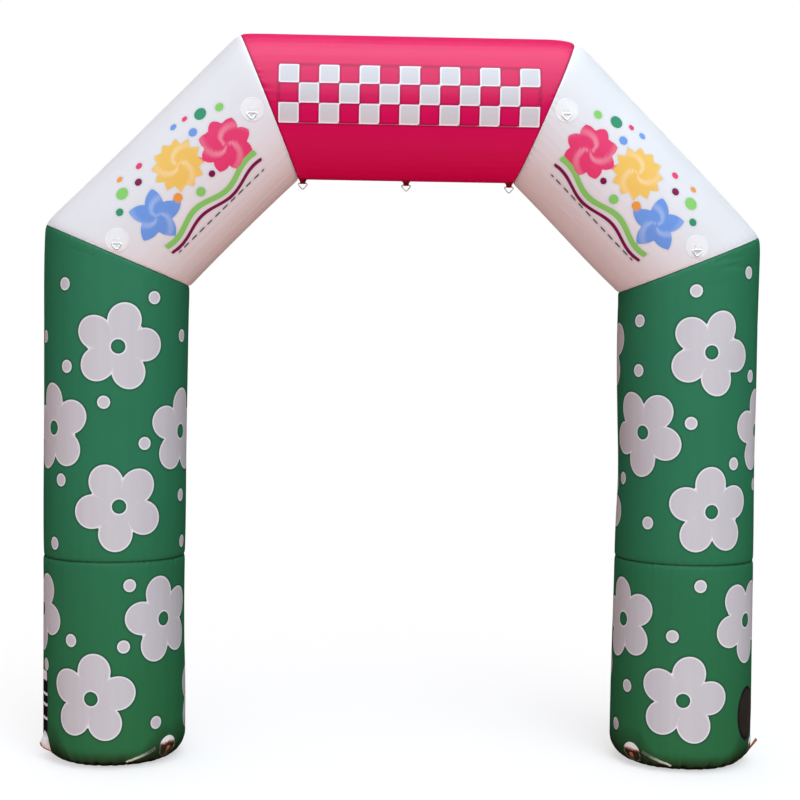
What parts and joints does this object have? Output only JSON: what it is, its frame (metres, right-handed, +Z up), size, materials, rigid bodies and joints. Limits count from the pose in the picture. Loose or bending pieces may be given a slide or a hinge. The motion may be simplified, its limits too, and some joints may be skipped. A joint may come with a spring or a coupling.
{
  "type": "inflatable arch",
  "caption": "Free-standing blown-up arch: round legs, mitred shoulders and a straight beam, with sewn patches, webbing tabs and rings, a mesh blower window and a deflation zip.",
  "frame": {"origin": "on the floor, midway between the two feet", "axes": "+Z up, +X along the beam towards the right leg as seen from the front, -Y the front"},
  "size_m": [5.1502, 1.0349, 5.174],
  "materials": {
    "leg_cloth": "coated polyester, printed dark green",
    "shoulder_cloth": "coated polyester, white with a coloured print",
    "beam_cloth": "coated polyester, crimson with a white print",
    "base_cloth": "heavy black coated cloth",
    "white_patch": "heavy white coated cloth, sewn round its edge",
    "white_webbing": "white woven webbing",
    "red_webbing": "dark red woven webbing",
    "orange_webbing": "orange-brown woven webbing",
    "ring_steel": "plated welded wire",
    "black_mesh": "black air mesh",
    "black_webbing": "black woven tape"
  },
  "bodies": {
    "root": {"leg_lower_left": "leg_cloth", "leg_lower_right": "leg_cloth", "leg_upper_left": "leg_cloth", "leg_upper_right": "leg_cloth", "shoulder_left": "shoulder_cloth", "shoulder_right": "shoulder_cloth", "beam": "beam_cloth", "base_left": "base_cloth", "base_right": "base_cloth", "beam_tab_left": "red_webbing", "beam_tab_middle": "red_webbing", "beam_tab_right": "red_webbing", "beam_ring_left": "ring_steel", "beam_ring_middle": "ring_steel", "beam_ring_right": "ring_steel", "shoulder_patch_left_low": "white_patch", "shoulder_patch_left_high": "white_patch", "shoulder_patch_right_low": "white_patch", "shoulder_patch_right_high": "white_patch", "shoulder_tab_left_low": "white_webbing", "shoulder_tab_left_high": "white_webbing", "shoulder_tab_right_low": "white_webbing", "shoulder_tab_right_high": "white_webbing", "shoulder_ring_left_low": "ring_steel", "shoulder_ring_left_high": "ring_steel", "shoulder_ring_right_low": "ring_steel", "shoulder_ring_right_high": "ring_steel", "foot_patch_left_inner": "white_patch", "foot_patch_left_outer": "white_patch", "foot_patch_right_inner": "white_patch", "foot_patch_right_outer": "white_patch", "foot_tab_left_inner": "orange_webbing", "foot_tab_left_outer": "orange_webbing", "foot_tab_right_inner": "orange_webbing", "foot_tab_right_outer": "orange_webbing", "foot_strap_left": "white_webbing", "foot_strap_right": "white_webbing", "inlet_mesh": "black_mesh", "inlet_rim": "black_webbing", "deflation_zip": "black_webbing"}
  },
  "joints": []
}
